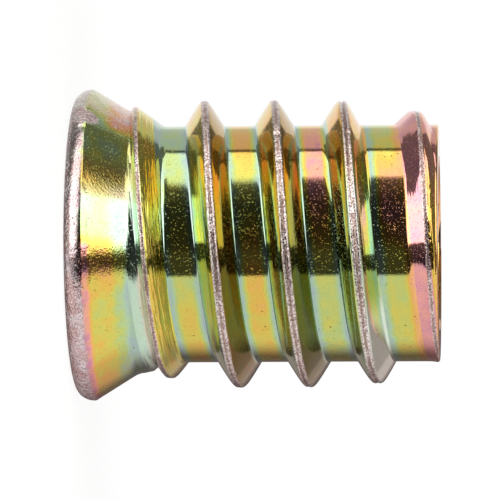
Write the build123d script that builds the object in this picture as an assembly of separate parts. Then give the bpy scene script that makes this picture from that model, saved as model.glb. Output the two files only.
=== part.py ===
from build123d import *
import os
from math import ceil, cos, radians, sin, tan

from numpy import interp

# Flanged threaded insert for wood: coned head with a hex socket, coarse outer thread, screw bore.
# It is one formed, turned and rolled piece of plated steel, so it is one solid.
# The head's face lies on z = 0 and the pilot end points up, with the axis on Z.
# The fine inner machine thread is left out: its hole is bored at that thread's minor diameter.

# Overall sizes, in millimetres and degrees
total_length = 12.5
head_diameter = 10.75
neck_diameter = 8.95
core_diameter = 8.14

# Head: a rounded rim that runs into a cone, then a short neck and its shoulder
rim_radius = 0.48
head_cone_angle = 32.0
neck_length = 0.65
shoulder_length = 0.4
neck_blend = 0.2

# Pilot end
end_round = 0.13
end_countersink = 0.5

# Outer wood thread, right-handed. Its centre line starts inside the head, above the head's face
thread_diameter = 9.9
thread_pitch = 2.4
thread_start = 0.82
crest_width = 0.22
flank_angle = 27.5
root_depth = 0.15
steps_per_turn = 4

# How much lower than the full thread the crest is: where it leaves the cone, about a half turn on,
# and at two places where it fades before it sinks into the pilot end
first_drop = 0.25
low_drop = 0.4
fade_drop = 0.15
last_drop = 0.45
sunk_depth = 0.1

# Heights of those places, from the cone's end and then from the pilot end
low_height = 1.3
full_height = 2.3
full_distance = 4.2
fade_distance = 2.06
last_distance = 0.7

# Hex socket for the driving key, and the bore behind it
socket_across_flats = 6.0
socket_depth = 4.6
socket_lead_in = 0.25
drill_point_angle = 59.0
bore_diameter = 5.0

# Values that follow from the sizes above
head_radius = head_diameter / 2
neck_radius = neck_diameter / 2
core_radius = core_diameter / 2
thread_radius = thread_diameter / 2
bore_radius = bore_diameter / 2
socket_radius = socket_across_flats / 2
cone_slope = tan(radians(head_cone_angle))
rim_top = rim_radius * (1 + sin(radians(head_cone_angle)))
rim_top_radius = head_radius - rim_radius * (1 - cos(radians(head_cone_angle)))
cone_foot_radius = rim_top_radius + rim_top * cone_slope
cone_end = (cone_foot_radius - neck_radius) / cone_slope


def turned(*points, radius=0.0):
    """Solid turned about Z from a closed outline of (radius, height) points, with rounded corners."""
    outline = FilletPolyline(*points, radius=radius, close=True)
    return revolve(Plane.XZ * make_face(outline), Axis.Z)


def blank():
    """Head, neck, shoulder, core and pilot end, before the thread is rolled."""
    neck_end = cone_end + neck_length
    shoulder_end = neck_end + shoulder_length
    outline = {
        (0, 0): 0,
        (cone_foot_radius, 0): rim_radius,
        (neck_radius, cone_end): neck_blend,
        (neck_radius, neck_end): neck_blend,
        (core_radius, shoulder_end): neck_blend,
        (core_radius, total_length): end_round,
        (0, total_length): 0,
    }
    return turned(*outline, radius=list(outline.values()))


def crest_drop(height):
    """How far the crest lies below the full thread radius at a height on the helix."""
    heights = (
        cone_end,
        cone_end + low_height,
        cone_end + full_height,
        total_length - full_distance,
        total_length - fade_distance,
        total_length - last_distance,
        total_length,
    )
    sunk = thread_radius - core_radius + sunk_depth
    drops = (first_drop, low_drop, 0, 0, fade_drop, last_drop, sunk)
    return float(interp(height, heights, drops))


def tooth(height):
    """Thread section where the helix reaches a height, sunk into the core by the root depth."""
    root_radius = core_radius - root_depth
    crest_radius = thread_radius - crest_drop(height)
    half_crest = crest_width / 2
    half_root = half_crest + (crest_radius - root_radius) * tan(radians(flank_angle))
    outline = Polyline(
        (root_radius, -half_root),
        (crest_radius, -half_crest),
        (crest_radius, half_crest),
        (root_radius, half_root),
        close=True,
    )
    return on_helix(height) * (Plane.XZ * make_face(outline))


def on_helix(height):
    """Place of the thread's centre line at a height, turned by the angle it has climbed through."""
    return Pos(0, 0, height) * Rot(0, 0, 360 * (height - thread_start) / thread_pitch)


def wood_thread():
    """Coarse right-hand ridge, swept in part turns so that its crest can sink and fade."""
    climb = thread_pitch / steps_per_turn
    steps = ceil((total_length - thread_start) / climb)
    part_turn = Helix(thread_pitch, climb, core_radius)
    lengths = []
    for step in range(steps):
        low = thread_start + step * climb
        sections = [tooth(low), tooth(low + climb)]
        lengths.append(sweep(sections, path=on_helix(low) * part_turn, multisection=True, is_frenet=True))
    return lengths


def past_pilot_end():
    """Space beyond the pilot end, where the last length of thread is cut off flush."""
    standing = (Align.CENTER, Align.CENTER, Align.MIN)
    return Pos(0, 0, total_length) * Cylinder(thread_diameter, thread_pitch, align=standing)


def hex_socket():
    """Hex recess for the key, with a lead-in at the mouth and the drilled cone at its floor."""
    hexagon = RegularPolygon(socket_radius, 6, major_radius=False)
    corner_radius = socket_radius / cos(radians(30))
    mouth_radius = corner_radius + socket_lead_in
    drill_point = (socket_radius - bore_radius) / tan(radians(drill_point_angle))
    lead_in = turned((0, 0), (mouth_radius, 0), (0, mouth_radius))
    drilled = turned(
        (0, 0),
        (socket_radius, 0),
        (socket_radius, socket_depth),
        (bore_radius, socket_depth + drill_point),
        (0, socket_depth + drill_point),
    )
    return extrude(hexagon, socket_depth) + lead_in + drilled


def screw_bore():
    """Through bore at the machine thread's minor diameter, countersunk at the pilot end."""
    mouth_radius = bore_radius + end_countersink
    return turned(
        (0, 0),
        (bore_radius, 0),
        (bore_radius, total_length - end_countersink),
        (mouth_radius, total_length),
        (0, total_length),
    )


insert_body = blank() + wood_thread() - past_pilot_end() - hex_socket() - screw_bore()

os.makedirs("parts", exist_ok=True)
export_step(insert_body, "parts/insert_body.step")
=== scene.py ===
import math

import bpy
import numpy as np
from mathutils import Matrix, Vector, noise


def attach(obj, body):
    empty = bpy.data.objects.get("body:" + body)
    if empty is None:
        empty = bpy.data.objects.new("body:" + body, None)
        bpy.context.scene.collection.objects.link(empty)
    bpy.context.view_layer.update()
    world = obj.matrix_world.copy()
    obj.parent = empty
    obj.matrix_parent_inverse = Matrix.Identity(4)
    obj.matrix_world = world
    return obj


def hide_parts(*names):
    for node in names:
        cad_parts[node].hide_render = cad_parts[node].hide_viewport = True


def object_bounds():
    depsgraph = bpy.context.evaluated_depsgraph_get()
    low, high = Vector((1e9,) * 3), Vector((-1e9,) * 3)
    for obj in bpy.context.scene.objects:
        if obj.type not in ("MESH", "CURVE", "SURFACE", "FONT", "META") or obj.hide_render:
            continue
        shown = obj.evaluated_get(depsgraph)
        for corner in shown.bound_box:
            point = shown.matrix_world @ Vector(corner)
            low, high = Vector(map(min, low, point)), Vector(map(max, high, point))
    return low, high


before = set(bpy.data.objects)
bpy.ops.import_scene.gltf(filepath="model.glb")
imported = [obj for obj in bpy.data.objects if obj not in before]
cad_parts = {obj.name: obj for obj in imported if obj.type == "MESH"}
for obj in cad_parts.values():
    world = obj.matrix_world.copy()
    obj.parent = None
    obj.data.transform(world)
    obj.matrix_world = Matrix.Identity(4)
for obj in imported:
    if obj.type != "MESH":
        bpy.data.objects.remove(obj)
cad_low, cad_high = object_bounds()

# Camera: a long lens at the photograph's angle. The insert stands on its head, and the camera
# is turned on its side, so that the head is at the picture's left as it is in the photograph.
PICTURE = 500
SENSOR = 0.036
PIXELS_PER_METRE = 28990
CAMERA_DISTANCE = 0.15
CAMERA_ELEVATION = math.radians(3.4)
CAMERA_ROLL = math.radians(-0.353)
CENTRE_IN_PICTURE = (258.2, 244.0)

centre = (cad_low + cad_high) / 2
back = Vector((0, -math.cos(CAMERA_ELEVATION), math.sin(CAMERA_ELEVATION)))
along_axis = Vector((0, math.sin(CAMERA_ELEVATION), math.cos(CAMERA_ELEVATION)))
across_axis = Vector((1, 0, 0))
picture_right = along_axis * math.cos(CAMERA_ROLL) - across_axis * math.sin(CAMERA_ROLL)
picture_up = -along_axis * math.sin(CAMERA_ROLL) - across_axis * math.cos(CAMERA_ROLL)
off_right = (PICTURE / 2 - CENTRE_IN_PICTURE[0]) / PIXELS_PER_METRE
off_up = (CENTRE_IN_PICTURE[1] - PICTURE / 2) / PIXELS_PER_METRE

lens = bpy.data.cameras.new("camera")
lens.sensor_width = SENSOR * 1000
lens.lens = SENSOR * 1000 * PIXELS_PER_METRE * CAMERA_DISTANCE / PICTURE
lens.clip_start = 0.01
lens.clip_end = 10
camera = bpy.data.objects.new("camera", lens)
bpy.context.collection.objects.link(camera)
turn = Matrix((picture_right, picture_up, back)).transposed()
stand = centre + back * CAMERA_DISTANCE + picture_right * off_right + picture_up * off_up
camera.matrix_world = Matrix.Translation(stand) @ turn.to_4x4()
bpy.context.scene.camera = camera
bpy.context.scene.view_settings.view_transform = "Standard"

# Studio: what the bright metal mirrors. Round the insert come a lit wall, a soft box, the dark side
# that the camera is on, a white fill card and, past it, a dim and warm floor. The camera sees white.
# Places are degrees: bearings from the camera's side towards +X, and tilts away from level.
STUDIO_LEVEL = -2
WALL_FADES = (-160, -148)
WALL_LIGHT = 1.0
ABOVE_WALL_LIGHT = 0.17
GAP = (-5, -4.2)
GAP_LIGHT = 0.1
BOX_LIGHT = 1.5
CARD_STARTS = (30, 32)
CARD_LIGHT = 0.9
CARD_FADES = (104, 146)
FLOOR_LIGHT = 0.15
FLOOR_TINT = (0.2, 0.22)


class Wire:
    """An output socket of a material or of the world. Plain sums on it add their Math nodes."""

    def __init__(self, tree, socket=None):
        self.tree = tree
        self.socket = socket

    def node(self, kind, sockets=None, output=0, stops=None, **settings):
        """Adds a node of a kind with its settings and its sockets' values or wires."""
        made = self.tree.nodes.new(kind)
        for name, setting in settings.items():
            setattr(made, name, setting)
        if stops:
            while len(made.color_ramp.elements) < len(stops):
                made.color_ramp.elements.new(1.0)
            for element, (position, colour) in zip(made.color_ramp.elements, stops):
                element.position = position
                element.color = (*colour, 1)
        for name, value in (sockets or {}).items():
            if isinstance(value, Wire):
                self.tree.links.new(value.socket, made.inputs[name])
            else:
                made.inputs[name].default_value = value
        return Wire(self.tree, made.outputs[output] if len(made.outputs) else None)

    def split(self):
        """The X, Y and Z of a vector."""
        outputs = self.node("ShaderNodeSeparateXYZ", {0: self}).socket.node.outputs
        return [Wire(self.tree, output) for output in outputs]

    def sum(self, operation, *values):
        return self.node("ShaderNodeMath", dict(enumerate(values)), operation=operation)

    def __add__(self, other):
        return self.sum("ADD", self, other)

    __radd__ = __add__

    def __mul__(self, other):
        return self.sum("MULTIPLY", self, other)

    __rmul__ = __mul__

    def __sub__(self, other):
        return self.sum("SUBTRACT", self, other)

    def __rsub__(self, other):
        return self.sum("SUBTRACT", other, self)

    def __truediv__(self, other):
        return self.sum("DIVIDE", self, other)

    def __rtruediv__(self, other):
        return self.sum("DIVIDE", other, self)

    def __pow__(self, other):
        return self.sum("POWER", self, other)

    def __neg__(self):
        return self.sum("MULTIPLY", self, -1)

    def __abs__(self):
        return self.sum("ABSOLUTE", self)

    def rise(self, low, high):
        """0 below low and 1 above high, with a smooth rise between them."""
        places = {"Value": self, "From Min": low, "From Max": high}
        return self.node("ShaderNodeMapRange", places, interpolation_type="SMOOTHSTEP")

    def toward(self, other, mask):
        """This value where the mask is 0, and the other where it is 1."""
        return self + (other - self) * mask

    def blend(self, first, second):
        """Colour that goes from first to second as this value goes from 0 to 1."""
        colours = {0: self, 6: first, 7: second}
        return self.node("ShaderNodeMix", colours, output=2, data_type="RGBA")


world = bpy.data.worlds.new("studio")
bpy.context.scene.world = world
world.use_nodes = True
world.node_tree.nodes.clear()
sky = Wire(world.node_tree)
to_side, to_back, upward = sky.node("ShaderNodeTexCoord", output="Generated").split()
bearing = sky.sum("ARCTAN2", to_side, -to_back) * math.degrees(1)
height = sky.sum("ARCSINE", upward) * math.degrees(1) - STUDIO_LEVEL
tilt = abs(height)
below = 1 - height.rise(-1, 1)

wall_top = sky.sum("MINIMUM", 47.7 + 0.12 * bearing, -215 - 2 * bearing)
above_wall = (tilt - sky.sum("MAXIMUM", wall_top, 8)).rise(-1, 1)
box_start = -101.5 + 0.646 * tilt + 5.5 * tilt.rise(38, 50)
box_end = 6 - 75 * (1 - sky.sum("MINIMUM", tilt / (61 - 24 * below), 1)) ** 2
in_gap = (bearing - box_start).rise(*GAP) * (1 - above_wall)
past_box_start = (bearing - box_start).rise(-0.6, 0.6)
past_box_end = (bearing - box_end).rise(-0.8, 0.8)
past_card = bearing.rise(*CARD_FADES)

wall = (WALL_LIGHT - 0.35 * bearing.rise(*WALL_FADES)).toward(ABOVE_WALL_LIGHT, above_wall)
box = BOX_LIGHT + 0.9 * tilt.rise(0, 45) - 1.7 * tilt.rise(63, 65.5)
dark_side = 0.025 + 0.06 * (1 - (bearing - box_end).rise(0, 28)) + 0.03 * (bearing - box_end).rise(60, 75)
card = CARD_LIGHT + 0.1 * tilt.rise(20, 40)
dim_floor = FLOOR_LIGHT + 0.2 * tilt.rise(8, 14) * (1 - tilt.rise(27, 30))
dim_floor = dim_floor + 0.25 * (1 - below) * tilt.rise(14, 18)
light = wall.toward(GAP_LIGHT, in_gap).toward(box, past_box_start).toward(dark_side, past_box_end)
light = light.toward(card, bearing.rise(*CARD_STARTS)).toward(dim_floor, past_card)
green, blue = (light * (1 - tint * past_card) for tint in FLOOR_TINT)
mirrored = sky.node("ShaderNodeCombineColor", {0: light, 1: green, 2: blue})
seen = sky.node("ShaderNodeLightPath", output="Is Camera Ray")
glow = sky.node("ShaderNodeBackground", {"Color": seen.blend(mirrored, (1, 1, 1, 1)), "Strength": 1.0})
sky.node("ShaderNodeOutputWorld", {"Surface": glow})

# Floor: a pale round board that the insert stands on. The camera sees it white, and it keeps
# a soft shadow round the insert's foot. The metal mirrors the studio through it.
FLOOR_RADIUS = 0.035
FLOOR_DROP = 0.00002
FLOOR_WHITE = 1.1
FLOOR_WHITE_SHARE = 0.8

bpy.ops.object.select_all(action="DESELECT")
bpy.ops.mesh.primitive_circle_add(vertices=96, radius=FLOOR_RADIUS, fill_type="NGON",
                                  location=(0, 0, -FLOOR_DROP))
floor = bpy.context.object
floor.name = "floor_board"
bpy.ops.object.transform_apply(location=True)
board = bpy.data.materials.new("pale_board")
board.use_nodes = True
board.node_tree.nodes.clear()
paint = Wire(board.node_tree)
matt = paint.node("ShaderNodeBsdfDiffuse", {"Color": (0.85, 0.85, 0.84, 1)})
white = paint.node("ShaderNodeEmission", {"Color": (1, 1, 1, 1), "Strength": FLOOR_WHITE})
to_camera = paint.node("ShaderNodeLightPath", output="Is Camera Ray") * FLOOR_WHITE_SHARE
painted = paint.node("ShaderNodeMixShader", {0: to_camera, 1: matt, 2: white})
clear = paint.node("ShaderNodeBsdfTransparent")
to_metal = paint.node("ShaderNodeLightPath", output="Is Glossy Ray")
surface = paint.node("ShaderNodeMixShader", {0: to_metal, 1: painted, 2: clear})
paint.node("ShaderNodeOutputMaterial", {"Surface": surface})
floor.data.materials.append(board)

# Insert, outside: one blank of steel, cold-headed into a coned flange and then thread-rolled.
# It is modelled as the rolling leaves it: the section of one pitch is swept round the axis, so
# that every row of faces follows the thread, and the crest is then pressed low at both ends.
# Sizes are in millimetres until the mesh is scaled to metres after the knocks.
HEAD_RADIUS = 5.375
HEAD_FACE_RADIUS = 3.85
RIM_RADIUS = 0.48
RIM_CORNER = 0.12
CONE_DEGREES = 32
CONE_END = 2.058
CONE_CUT = 0.68
NECK_RADIUS = 4.475
CORE_RADIUS = 4.07
TOTAL_LENGTH = 12.5
END_ROUND = 0.08
END_FACE_RADIUS = 3.25
THREAD_RADIUS = 4.95
PITCH = 2.4
THREAD_START = 0.82
STEPS_ROUND = 360
FOOT_FILLET = 0.012
NECK_FILLET = 0.04
THREAD_RUN_IN = 0.05
SEAM_WIDTH = 0.035
CREST_HALF_WIDTH = 0.17

# Rows of faces between the crest's centre line and the middle of the valley
ROWS = [0, 0.04, 0.08, 0.105, 0.13, 0.16, 0.2, 0.28, 0.37, 0.46, 0.54, 0.59, 0.615, 0.635, 0.65]
ROWS += [0.665, 0.69, 0.73, 0.79, 0.88, 1.02]

# How the ridge changes along its helix, as pairs of the crest's height there and a value. Low is
# the head's side of the crest, and high is the pilot end's side.
CREST_DROP = [(1.4, 0.15), (2.02, 0.19), (2.62, 0.29), (3.22, 0.33), (3.8, 0.13), (4.4, 0), (8.3, 0)]
CREST_DROP += [(10.44, 0.13), (11.35, 0.36), (11.62, 0.41), (12.22, 0.6), (12.5, 0.72), (12.82, 0.84)]
CREST_ROUND = [(2.7, 0.06), (3.8, 0.11)]
CREST_LEAN = [(8.4, 0), (9.2, 0.05), (10.6, 0.03), (11.3, -0.11), (12.0, -0.09), (12.5, 0.14)]
LAND_LOW = [(2.7, 0.02), (3.8, 0.05), (8.4, 0.05), (9.2, 0.12), (10.4, 0.1), (11.4, 0.28), (11.9, 0.05)]
LAND_HIGH = [(2.7, 0.02), (3.8, 0.05), (8.4, 0.05), (9.2, 0.07), (10.4, 0.07), (11.4, 0.1)]
FLANK_LOW = [(10.4, 1.68), (11.62, 0.95), (12.22, 0.5), (12.82, 0.15)]
FLANK_HIGH = [(1.4, 0.75), (2.02, 0.75), (2.62, 0.95), (3.22, 1.3), (3.8, 1.55), (4.4, 1.68), (8.4, 1.68)]
FLANK_HIGH += [(9.2, 1.95), (11.6, 1.8), (12.2, 2.5)]
SEAM_DEPTH = [(2.0, 0.01), (4.4, 0.01), (7.0, 0.012), (8.3, 0.05), (11.6, 0.05), (12.3, 0.02)]
SEAM_PLACE = [(8.0, -0.03), (10.0, -0.03), (11.6, 0.05)]

# Radius of the neck and of the shoulder behind it, as pairs of height and radius
NECK_LINE = [(0, 4.43), (2.3, 4.43), (2.62, 4.36), (3.15, 3.9), (3.6, 3.0)]


def follow(line, places):
    """Values of a line of (place, value) pairs at some places."""
    return np.interp(places, *zip(*line))


def larger(first, second, fillet):
    """The larger of two radii, with a fillet where they meet."""
    return 0.5 * (first + second + np.sqrt((first - second) ** 2 + fillet**2))


def grain(points, scale, seed):
    """Smooth noise at points, in a range of about -1 to 1."""
    return np.array([noise.noise(Vector(point) * scale + Vector((seed, seed, seed))) for point in points])


def rolled_radius(points):
    """Outside radius of the insert at points, with the ridge, the neck and the cone run together."""
    angle = np.mod(np.arctan2(points[:, 1], points[:, 0]), 2 * math.pi)
    height = points[:, 2]
    climb = height - THREAD_START - PITCH * angle / (2 * math.pi)
    across_ridge = climb - PITCH * np.round(climb / PITCH)
    at_crest = height - across_ridge
    across_crest = across_ridge + follow(CREST_LEAN, at_crest)
    land_low = -follow(LAND_LOW, at_crest)
    land_high = follow(LAND_HIGH, at_crest)
    off_land = across_crest - np.clip(across_crest, land_low, land_high)
    slope = np.where(off_land > 0, follow(FLANK_HIGH, at_crest), follow(FLANK_LOW, at_crest))
    rounding = follow(CREST_ROUND, at_crest)
    ridge = THREAD_RADIUS - follow(CREST_DROP, at_crest)
    ridge -= slope * (np.sqrt(off_land**2 + rounding**2) - rounding)
    wander = grain(np.column_stack((points[:, 0], points[:, 1], at_crest * 0.4)), 1.3, 5)
    bite = grain(np.column_stack((points[:, 0], points[:, 1], at_crest)), 5.5, 9)
    from_seam = across_crest - follow(SEAM_PLACE, at_crest) - 0.02 * wander
    seam = follow(SEAM_DEPTH, at_crest) * np.exp(-((from_seam / SEAM_WIDTH) ** 2))
    ridge -= seam * (0.8 + 0.5 * bite)
    on_crest = np.exp(-((across_ridge / CREST_HALF_WIDTH) ** 4))
    ridge += on_crest * (0.01 * bite - 0.012 * np.abs(wander))
    cone = NECK_RADIUS + (CONE_END - height) * math.tan(math.radians(CONE_DEGREES))
    turned = larger(follow(NECK_LINE, height), cone, NECK_FILLET)
    return larger(larger(ridge, CORE_RADIUS, FOOT_FILLET), turned, THREAD_RUN_IN)


def ring(low_radius, high_radius, rise):
    """Draws the open edge on along the axis by a rise, while its radius changes."""
    bpy.ops.mesh.extrude_region_move(TRANSFORM_OT_translate={"value": (0, 0, rise)})
    scale = high_radius / low_radius
    bpy.ops.transform.resize(value=(scale, scale, 1), center_override=(0, 0, 0))


def mesh_points(piece):
    """Places of the piece's vertices, as rows of X, Y and Z."""
    places = np.empty(len(piece.data.vertices) * 3)
    piece.data.vertices.foreach_get("co", places)
    return places.reshape(-1, 3)


def move_points(piece, points):
    """Puts the piece's vertices at points."""
    piece.data.vertices.foreach_set("co", points.ravel())
    piece.data.update()


def start_line(radius, height):
    """A new object with one point beside the axis, in edit mode and ready to be drawn on."""
    bpy.ops.object.select_all(action="DESELECT")
    bpy.ops.mesh.primitive_plane_add(size=1, location=(0, 0, 0))
    bpy.ops.object.mode_set(mode="EDIT")
    bpy.ops.mesh.select_all(action="SELECT")
    bpy.ops.mesh.merge(type="CENTER")
    bpy.ops.transform.translate(value=(radius, 0, height))
    return bpy.context.object


def sweep_round(piece, pitch, steps):
    """Sweeps the drawn line once round the axis while it climbs by a pitch, and closes its seam."""
    bpy.ops.object.mode_set(mode="OBJECT")
    sweep = piece.modifiers.new("rolling", "SCREW")
    sweep.axis = "Z"
    sweep.angle = 2 * math.pi
    sweep.screw_offset = pitch
    sweep.steps = steps
    sweep.render_steps = steps
    bpy.ops.object.modifier_apply(modifier="rolling")
    bpy.ops.object.mode_set(mode="EDIT")
    bpy.ops.mesh.select_all(action="SELECT")
    bpy.ops.mesh.remove_doubles(threshold=0.001)


one_pitch = sorted([-row for row in ROWS[1:]] + ROWS + [PITCH / 2])
section = [THREAD_START + PITCH * turn_number + row for turn_number in range(-1, 6) for row in one_pitch]
insert = start_line(CORE_RADIUS, section[0])
insert.name = "plated_insert"
for low, high in zip(section, section[1:]):
    bpy.ops.mesh.extrude_vertices_move(TRANSFORM_OT_translate={"value": (0, 0, high - low)})
sweep_round(insert, PITCH, STEPS_ROUND)
bpy.ops.object.mode_set(mode="OBJECT")
points = mesh_points(insert)
radii = rolled_radius(points)
angles = np.arctan2(points[:, 1], points[:, 0])
points[:, 0] = radii * np.cos(angles)
points[:, 1] = radii * np.sin(angles)
move_points(insert, points)

# The pilot end is rounded over and faced flat, and the head's rim is rolled round to its face.
bpy.ops.object.mode_set(mode="EDIT")
bpy.ops.mesh.select_all(action="SELECT")
bpy.ops.mesh.bisect(plane_co=(0, 0, TOTAL_LENGTH - END_ROUND), plane_no=(0, 0, 1), clear_outer=True)
turns = [math.radians(part) for part in range(0, 91, 18)]
for low, high in zip(turns, turns[1:]):
    low_radius = CORE_RADIUS - END_ROUND * (1 - math.cos(low))
    high_radius = CORE_RADIUS - END_ROUND * (1 - math.cos(high))
    ring(low_radius, high_radius, END_ROUND * (math.sin(high) - math.sin(low)))
ring(CORE_RADIUS - END_ROUND, END_FACE_RADIUS, 0)
bpy.ops.mesh.edge_face_add()
bpy.ops.mesh.select_all(action="SELECT")
bpy.ops.mesh.bisect(plane_co=(0, 0, CONE_CUT), plane_no=(0, 0, 1), clear_inner=True)
cone_slope = math.tan(math.radians(CONE_DEGREES))
widest = CONE_END - (HEAD_RADIUS - NECK_RADIUS) / cone_slope
widest -= RIM_CORNER * math.tan(math.radians(CONE_DEGREES / 2))
rounds = [(part, RIM_CORNER, RIM_CORNER) for part in range(CONE_DEGREES, -1, -8)]
rounds += [(part, RIM_RADIUS, widest) for part in range(0, -91, -9)]
rim_radius = NECK_RADIUS + (CONE_END - CONE_CUT) * cone_slope
rim_height = CONE_CUT
for part, bend, reach in rounds:
    next_radius = HEAD_RADIUS - bend + bend * math.cos(math.radians(part))
    next_height = widest + reach * math.sin(math.radians(part))
    ring(rim_radius, next_radius, next_height - rim_height)
    rim_radius, rim_height = next_radius, next_height
ring(rim_radius, HEAD_FACE_RADIUS, 0)
bpy.ops.mesh.edge_face_add()
bpy.ops.mesh.select_all(action="SELECT")
bpy.ops.mesh.normals_make_consistent(inside=False)
bpy.ops.object.mode_set(mode="OBJECT")

# Key socket and screw thread: the hexagon is broached into the head, the bore is drilled and
# countersunk, and a machine thread of 1 mm pitch is tapped through it to the drill's cone.
SOCKET_RADIUS = 3.0
SOCKET_DEPTH = 4.6
SOCKET_CORNER_ROUND = 0.12
SOCKET_LEAD_IN = 0.25
LEAD_IN_TOP = 0.45
DRILL_RADIUS = 2.98
DRILL_LAP = 0.01
BORE_RADIUS = 2.5
COUNTERSINK = 0.5
DRILL_RISE = (SOCKET_RADIUS - BORE_RADIUS) / math.tan(math.radians(59))
OVERCUT = 0.5
TAP_RADIUS = 2.97
TAP_PITCH = 1
TAP_TURNS = 11
TAP_STEPS = 96
TAP_SECTION = [(0, 0.25), (TAP_RADIUS - BORE_RADIUS, 0.29), (0.03, 0.06), (0, 0.05), (-0.03, 0.06)]
TAP_SECTION += [(BORE_RADIUS - TAP_RADIUS, 0.29)]


def cut(tool):
    """Takes the tool's shape out of the insert."""
    bpy.ops.object.select_all(action="DESELECT")
    insert.select_set(True)
    bpy.context.view_layer.objects.active = insert
    cutting = insert.modifiers.new("cutting", "BOOLEAN")
    cutting.operation = "DIFFERENCE"
    cutting.solver = "MANIFOLD"
    cutting.object = tool
    bpy.ops.object.modifier_apply(modifier="cutting")
    bpy.data.objects.remove(tool)


def cone_tool(low_radius, high_radius, low, high):
    """A turned cutter, from one height to another."""
    bpy.ops.object.select_all(action="DESELECT")
    bpy.ops.mesh.primitive_cone_add(vertices=128, radius1=low_radius, radius2=high_radius,
                                    depth=high - low, location=(0, 0, (low + high) / 2))
    bpy.ops.object.transform_apply(location=True)
    return bpy.context.object


corner = SOCKET_RADIUS / math.cos(math.radians(30))
bpy.ops.object.select_all(action="DESELECT")
bpy.ops.mesh.primitive_cylinder_add(vertices=6, radius=corner, depth=SOCKET_DEPTH + 2 * OVERCUT,
                                    location=(0, 0, SOCKET_DEPTH / 2 - OVERCUT),
                                    rotation=(0, 0, math.radians(30)))
hexagon = bpy.context.object
bpy.ops.object.transform_apply(location=True, rotation=True)
bpy.ops.object.mode_set(mode="EDIT")
bpy.ops.mesh.select_all(action="DESELECT")
bpy.ops.object.mode_set(mode="OBJECT")
for edge in hexagon.data.edges:
    low, high = (hexagon.data.vertices[end].co for end in edge.vertices)
    edge.select = abs(low.z - high.z) > SOCKET_DEPTH / 2
bpy.ops.object.mode_set(mode="EDIT")
bpy.ops.mesh.bevel(offset=SOCKET_CORNER_ROUND, segments=4, affect="EDGES")
bpy.ops.object.mode_set(mode="OBJECT")
cut(hexagon)
cut(cone_tool(corner + SOCKET_LEAD_IN + OVERCUT, corner - LEAD_IN_TOP, -OVERCUT, LEAD_IN_TOP))
cut(cone_tool(DRILL_RADIUS, DRILL_RADIUS, SOCKET_DEPTH - OVERCUT, SOCKET_DEPTH + DRILL_LAP))
cut(cone_tool(DRILL_RADIUS, BORE_RADIUS, SOCKET_DEPTH, SOCKET_DEPTH + DRILL_RISE))
wide_end = BORE_RADIUS + COUNTERSINK + OVERCUT
cut(cone_tool(BORE_RADIUS, wide_end, TOTAL_LENGTH - COUNTERSINK, TOTAL_LENGTH + OVERCUT))

tap = start_line(BORE_RADIUS, SOCKET_DEPTH - 2 * TAP_PITCH)
for outward, up in TAP_SECTION * TAP_TURNS:
    bpy.ops.mesh.extrude_vertices_move(TRANSFORM_OT_translate={"value": (outward, 0, up)})
sweep_round(tap, TAP_PITCH, TAP_STEPS)
bpy.ops.mesh.select_all(action="SELECT")
bpy.ops.mesh.bisect(plane_co=(0, 0, TOTAL_LENGTH + 0.3), plane_no=(0, 0, 1), clear_outer=True, use_fill=True)
bpy.ops.mesh.select_all(action="SELECT")
bpy.ops.mesh.bisect(plane_co=(0, 0, SOCKET_DEPTH + 0.1), plane_no=(0, 0, 1), clear_inner=True, use_fill=True)
bpy.ops.mesh.select_all(action="SELECT")
bpy.ops.mesh.normals_make_consistent(inside=False)
bpy.ops.object.mode_set(mode="OBJECT")
cut(tap)

# Knocks: small dents and chips that handling left on the rim and on the turns of the crest, and the
# rim's rolled skin. A knock is its degrees round the axis, height, radius, width and depth.
KNOCKS = [(220.9, 7.09, 4.95, 0.17, 0.09), (235.0, 7.187, 4.95, 0.14, 0.07), (219.6, 9.484, 4.95, 0.15, 0.09)]
KNOCKS += [(357, 0.135, 5.2, 0.16, 0.1), (312, 0.5, 5.375, 0.22, 0.05), (318, 0.55, 5.375, 0.15, 0.05)]
KNOCKS += [(212, 0.62, 5.36, 0.35, 0.05), (222, 0.5, 5.375, 0.25, 0.04), (76, 0.3, 5.34, 0.25, 0.06)]
KNOCKS += [(128, 0.4, 5.37, 0.2, 0.05), (24, 5.78, 4.95, 0.16, 0.08), (95, 8.65, 4.95, 0.14, 0.07)]
RIM_SKIN = 0.011
RIM_SKIN_INSIDE = 4.85
RIM_SKIN_TOP = 0.9
MILLIMETRE = 0.001

points = mesh_points(insert)
outward = points * (1, 1, 0) / np.maximum(np.hypot(points[:, 0], points[:, 1]), 1)[:, None]
for degrees, height, radius, width, depth in KNOCKS:
    angle = math.radians(degrees)
    spot = np.array((radius * math.cos(angle), radius * math.sin(angle), height))
    near = np.linalg.norm(points - spot, axis=1) / width
    points -= outward * (depth * np.clip(1 - near**2, 0, 1) ** 1.5)[:, None]
on_rim = (np.hypot(points[:, 0], points[:, 1]) > RIM_SKIN_INSIDE) & (points[:, 2] < RIM_SKIN_TOP)
uneven = grain(points[on_rim], 2.6, 3) + 0.6 * grain(points[on_rim], 7.0, 8)
points[on_rim] -= outward[on_rim] * (RIM_SKIN * np.abs(uneven))[:, None]
move_points(insert, points)
bpy.ops.object.select_all(action="DESELECT")
insert.select_set(True)
bpy.context.view_layer.objects.active = insert
bpy.ops.object.mode_set(mode="EDIT")
bpy.ops.mesh.select_all(action="SELECT")
bpy.ops.transform.resize(value=(MILLIMETRE, MILLIMETRE, MILLIMETRE), center_override=(0, 0, 0))
bpy.ops.object.mode_set(mode="OBJECT")
bpy.ops.object.shade_smooth_by_angle(angle=math.radians(38))

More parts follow.
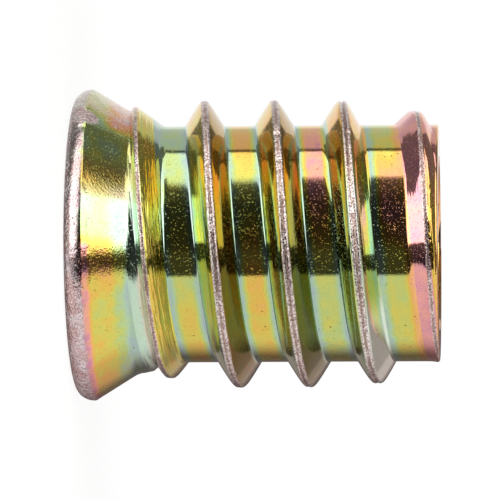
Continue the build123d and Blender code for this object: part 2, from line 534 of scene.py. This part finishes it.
# Plating: yellow passivated zinc over the steel. Its clear film shows other colours as it thins
# towards the foot of the thread, and it is rubbed off to bare pinkish silver along the crest and
# round the rim. A film runs from 0, which is mint, through gold to 1, which is violet.
# Part of the colour is painted light and shade. It changes with the side that is up in the camera's view, and
# single flanks and the head carry painted shade and reflections.
FILM = [
    (0.0, (0.40, 0.50, 0.48)),
    (0.14, (0.44, 0.60, 0.40)),
    (0.3, (0.52, 0.61, 0.20)),
    (0.45, (0.68, 0.60, 0.12)),
    (0.6, (0.80, 0.50, 0.10)),
    (0.75, (0.88, 0.45, 0.18)),
    (0.88, (0.85, 0.38, 0.30)),
    (1.0, (0.62, 0.27, 0.38)),
]
LAST_RAMP_FILM = 0.93
END_FILM = 0.74
FACE_FILM = 0.5
# Among these colours, the two browns are painted shade on the flanks. The pale mint and the rose are painted
# reflections, the cone's brown is a painted dark reflection, and the washed-out pale is a painted glare.
UPPER_PAINTED_SHADE = (0.36, 0.2, 0.05, 1)
LOWER_PAINTED_SHADE = (0.13, 0.085, 0.025, 1)
PAINTED_REFLECTION_MINT = (0.88, 0.95, 0.88, 1)
MINT = (0.6, 0.78, 0.68, 1)
PAINTED_REFLECTION_ROSE = (0.8, 0.5, 0.42, 1)
CONE_PAINTED_DARK_BAND = (0.5, 0.28, 0.09, 1)
SCUFFED_DARK = (0.34, 0.22, 0.22, 1)
SCUFFED_BRIGHT = (0.95, 0.84, 0.82, 1)
RIM_DARK = (0.64, 0.4, 0.43, 1)
RIM_BRIGHT = (0.88, 0.78, 0.79, 1)
SEAM_BROWN = (0.3, 0.17, 0.13, 1)
PAINTED_TOP_GLARE = (0.86, 0.8, 0.72, 1)
PIT_DARK = (0.05, 0.03, 0.02, 1)
RIM_KNOCK = (-4.37, -3.06, 0.62)
TURNS_SHOWN = 5

# Film along the valleys of the thread, as pairs of turns from its start and a film
VALLEY_FILM = [(0.5, 0.16), (0.6, 0.2), (0.66, 0.25), (0.73, 0.45), (0.8, 0.33), (0.86, 0.52), (0.95, 0.6)]
VALLEY_FILM += [(1.2, 0.35), (1.5, 0.55), (1.59, 0.7), (1.63, 0.42), (1.7, 0.28), (1.76, 0.55), (1.83, 0.58)]
VALLEY_FILM += [(1.9, 0.5), (2.1, 0.6), (2.5, 0.62), (2.6, 0.85), (2.68, 0.9), (2.8, 0.32), (2.92, 0.34)]
VALLEY_FILM += [(3.2, 0.6), (3.5, 0.27), (3.6, 0.4), (3.64, 0.75), (3.71, 0.92), (3.78, 0.3), (3.9, 0.42)]
VALLEY_FILM += [(4.1, 0.4), (4.3, 0.8), (4.6, 0.85)]

zinc = bpy.data.materials.new("yellow_zinc")
zinc.use_nodes = True
zinc.node_tree.nodes.clear()
plating = Wire(zinc.node_tree)
in_metres = plating.node("ShaderNodeTexCoord", output="Object")
in_mm = plating.node("ShaderNodeVectorMath", {0: in_metres, 3: 1 / MILLIMETRE}, operation="SCALE")
x, y, z = in_mm.split()
radius = (x * x + y * y) ** 0.5
# down and up: how far a point faces +X and -X, which are down and up in the camera's view. Colour that
# follows them, here and through upper and lower, is painted light and shade; the rim's wear and polish follow
# lower too.
down = x / radius
up = -down


def mottle(scale, detail=2.0, roughness=0.5, where=in_mm):
    """Cloudy noise on the insert, from 0 to 1, at so many clouds a millimetre."""
    settings = {"Vector": where, "Scale": scale, "Detail": detail, "Roughness": roughness}
    return plating.node("ShaderNodeTexNoise", settings)


# Places on the thread, measured from its helix, and on the head
turned_by = plating.sum("ARCTAN2", y, x) / (2 * math.pi)
climb = (z - THREAD_START) / PITCH - turned_by
across_ridge = (plating.sum("FRACT", climb + 0.5) - 0.5) * PITCH
from_ridge = abs(across_ridge)
at_crest = z - across_ridge
valley = plating.sum("FLOOR", climb)
head = 1 - z.rise(1.95, 2.3)
thread = 1 - head
face = 1 - z.rise(0.01, 0.06)
end = z.rise(12.42, 12.46)
outside = radius.rise(3.75, 3.9) * (1 - z.rise(12.47, 12.49))
upper = (up - 0.42).rise(-0.25, 0.25)
lower = down.rise(0.15, 0.4)
first_turn = 1 - at_crest.rise(3.0, 3.6)
middle_turns = at_crest.rise(3.6, 4.4) * (1 - at_crest.rise(8.2, 9.4))
last_turn = at_crest.rise(10.9, 11.4)
pilot_side = across_ridge.rise(-0.02, 0.02)
head_side = 1 - pilot_side
in_valley = from_ridge.rise(0.66, 1.0)
on_flank = 1 - from_ridge.rise(0.6, 0.66)
flank = on_flank * thread

# Noise: clouds from wide to fine, and streaks that the rolling drew along the flanks
wide = mottle(0.3) - 0.5
patchy = mottle(1.5, 3.0) - 0.5
chips = mottle(5, 3.0, 0.7) - 0.5
speckle = mottle(15, 2.0, 0.6)
fine = mottle(24, 2.0, 0.6) - 0.5
drawn_out = plating.node("ShaderNodeCombineXYZ", {0: x * 0.35, 1: y * 0.35, 2: across_ridge * 9 + valley * 3})
streak = mottle(1.0, 3.0, where=drawn_out) - 0.5

# Where the film is rubbed off: the lands along the crest, the rim and the knock on the rim
lean = at_crest.rise(8.4, 9.2) * 0.05 - at_crest.rise(10.2, 11.5) * 0.17 + at_crest.rise(11.4, 12.9) * 0.34
from_crest = abs(across_ridge + lean)
land = 0.13 - 0.06 * first_turn - 0.06 * last_turn + 0.07 * patchy
on_land = (1 - (from_crest - land).rise(-0.02, 0.025)) * thread * outside
to_knock = in_mm.node("ShaderNodeVectorMath", {0: in_mm, 1: RIM_KNOCK}, output="Value", operation="DISTANCE")
knocked = 1 - (to_knock + 0.5 * patchy).rise(0.3, 0.5)
wear_edge = 0.56 + 0.1 * lower - 0.35 * patchy - 0.3 * (speckle - 0.5)
rim_wear = (1 - (z - wear_edge).rise(-0.05, 0.06)) * head * (radius + 0.5 * patchy).rise(4.3, 4.6)
rim_wear = plating.sum("MAXIMUM", rim_wear, knocked)
rubbed = plating.sum("MAXIMUM", on_land, rim_wear)
polished_rim = rim_wear * z.rise(0.12, 0.2) * (1 - lower) * (1 - knocked)

# Film on the thread, on the head and on the two ends. Its shifts with upper, lower, up and the lit side are
# painted light and shade: the flanks, the pilot side, the cone and the head's top take other colours on the
# side that is up in the camera's view than on the side that is down.
stops = [(turns / TURNS_SHOWN, (amount,) * 3) for turns, amount in VALLEY_FILM]
middle_film = plating.node("ShaderNodeValToRGB", {0: (valley + turned_by) / TURNS_SHOWN}, stops=stops)
foot_film = 0.04 + 0.72 * last_turn
valley_film = foot_film.toward(middle_film, in_valley) + 0.2 * patchy + 0.3 * wide
flank_film = 0.2 + 0.38 * upper + 0.5 * wide + 0.4 * streak
pilot_film = (1 - upper) * (0.36 - 0.42 * at_crest.rise(5.5, 9.5)) - 0.1 * first_turn
flank_film = flank_film + pilot_side * (pilot_film + (0.45 - 0.2 * upper) * last_turn)
cone_film = 0.88 - 0.3 * z.rise(0.75, 0.95) - 0.24 * z.rise(1.5, 1.8) - 0.24 * z.rise(1.85, 2.15)
cone_film = cone_film - 0.14 * lower * z.rise(0.8, 1.0) + 0.5 * patchy
top_film = 0.3 + 0.15 * up.rise(0.8, 0.88) + 0.45 * z.rise(1.1, 1.5) * up.rise(0.78, 0.84) + 0.4 * patchy
lit_film = 0.28 - 0.17 * z.rise(1.2, 1.9) + 0.25 * wide
lit_side = (up + 0.02).rise(0, 0.1) * (1 - up.rise(0.36, 0.46))
head_film = cone_film.toward(top_film, upper).toward(lit_film, lit_side) + 0.4 * wide
film = valley_film.toward(flank_film, on_flank).toward(LAST_RAMP_FILM, last_turn * on_flank * head_side)
film = film.toward(head_film, head).toward(END_FILM, end) + 0.22 * patchy + 0.1 * (speckle - 0.5)
film = film.toward(FACE_FILM + 0.3 * patchy, face)
colour = film.node("ShaderNodeValToRGB", {0: film}, stops=FILM)

# Tints on single flanks and across the cone. Most are painted light: painted shade on the pilot side of the
# middle turns, painted reflections on the lower side, and a painted dark band across the cone. The mint on
# the first turn's head-side flanks is a tint of its own.
# Painted shade: brown on the pilot-side flanks of the middle turns, darker on the side that is down in the
# camera's view.
painted_shade_brown = down.rise(0, 0.2).blend(UPPER_PAINTED_SHADE, LOWER_PAINTED_SHADE)
colour = (flank * pilot_side * middle_turns * 0.75).blend(colour, painted_shade_brown)
# Painted reflection: pale mint on the side that is down in the camera's view, on the pilot-side flanks
# towards the end.
pale = flank * pilot_side * at_crest.rise(8.6, 9.6) * (1 - last_turn) * down.rise(0.35, 0.6)
colour = (pale * 0.7).blend(colour, PAINTED_REFLECTION_MINT)
first_flank = flank * first_turn * head_side
colour = (first_flank * 0.75).blend(colour, MINT)
# Painted reflection: rose on the side that is down in the camera's view, on the first turn's head-side flanks
# near the crest.
painted_rose_reflection = first_flank * down.rise(0.1, 0.3) * (1 - from_ridge.rise(0.24, 0.4))
colour = (painted_rose_reflection * 0.6).blend(colour, PAINTED_REFLECTION_ROSE)
# Painted dark reflection: a brown band across the cone, on the side that is up in the camera's view.
painted_dark_band = head * up.rise(0.3, 0.36) * (1 - (up + 0.3 * patchy).rise(0.5, 0.62))
colour = (painted_dark_band * 0.6).blend(colour, CONE_PAINTED_DARK_BAND)

# Bare metal, the brown seam in the crest, painted glare along the head's top edge, and pits
bare = speckle.rise(0.38, 0.6).blend(SCUFFED_DARK, SCUFFED_BRIGHT)
rim_tone = (patchy + 0.5).rise(0.38, 0.6).blend(RIM_DARK, RIM_BRIGHT)
bare = (rim_wear * 0.6).blend(bare, rim_tone)
colour = (rubbed * 0.88).blend(colour, bare)
seam = on_land * (1 - from_crest.rise(0.02, 0.07)) * (patchy + 0.5).rise(0.32, 0.52)
colour = (seam * 0.7).blend(colour, SEAM_BROWN)
# Painted glare: the head paled along the edge that is up in the camera's view, a painted reflection of bright
# light at a grazing angle.
painted_top_glare = (up + 0.5 * patchy + 0.5 * (speckle - 0.5)).rise(0.86, 0.96) * head
colour = (painted_top_glare * 0.6).blend(colour, PAINTED_TOP_GLARE)
from_pit = plating.node("ShaderNodeTexVoronoi", {"Vector": in_mm, "Scale": 3.1})
pits = (1 - from_pit.rise(0.06, 0.1)) * mottle(1.1, 0.0).rise(0.5, 0.62)
colour = (pits * 0.8).blend(colour, PIT_DARK)

# Relief, which is rough where the film is off, and in the streaks of the first turn
grainy = 0.03 + 1.1 * on_land + 1.2 * rim_wear - 0.9 * polished_rim + 1.5 * knocked
grainy = grainy + head * (0.15 + 0.8 * up.rise(0.74, 0.84)) + 0.3 * painted_top_glare + 0.12 * painted_dark_band
finer = 0.03 + 0.4 * on_land + 0.5 * rim_wear - 0.4 * polished_rim
dots = speckle.rise(0.66, 0.72) - (1 - speckle).rise(0.68, 0.74)
relief = (speckle - 0.5) * grainy + fine * finer + dots * (0.4 + 0.5 * rubbed)
relief = relief + chips * (rim_wear - polished_rim) * 4 - pits * 0.5
relief = relief + streak * flank * (0.3 + 1.5 * first_turn)
bump = plating.node("ShaderNodeBump", {"Height": relief, "Strength": 1.0, "Distance": 0.00002})
shine = 0.05 + 0.03 * speckle + 0.07 * on_land + 0.07 * rim_wear + 0.02 * head
metal = {"Base Color": colour, "Metallic": 1.0, "Roughness": shine, "Normal": bump}
finish = plating.node("ShaderNodeBsdfPrincipled", metal)
plating.node("ShaderNodeOutputMaterial", {"Surface": finish})
insert.data.materials.clear()
insert.data.materials.append(zinc)
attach(insert, "root")
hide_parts("insert_body")
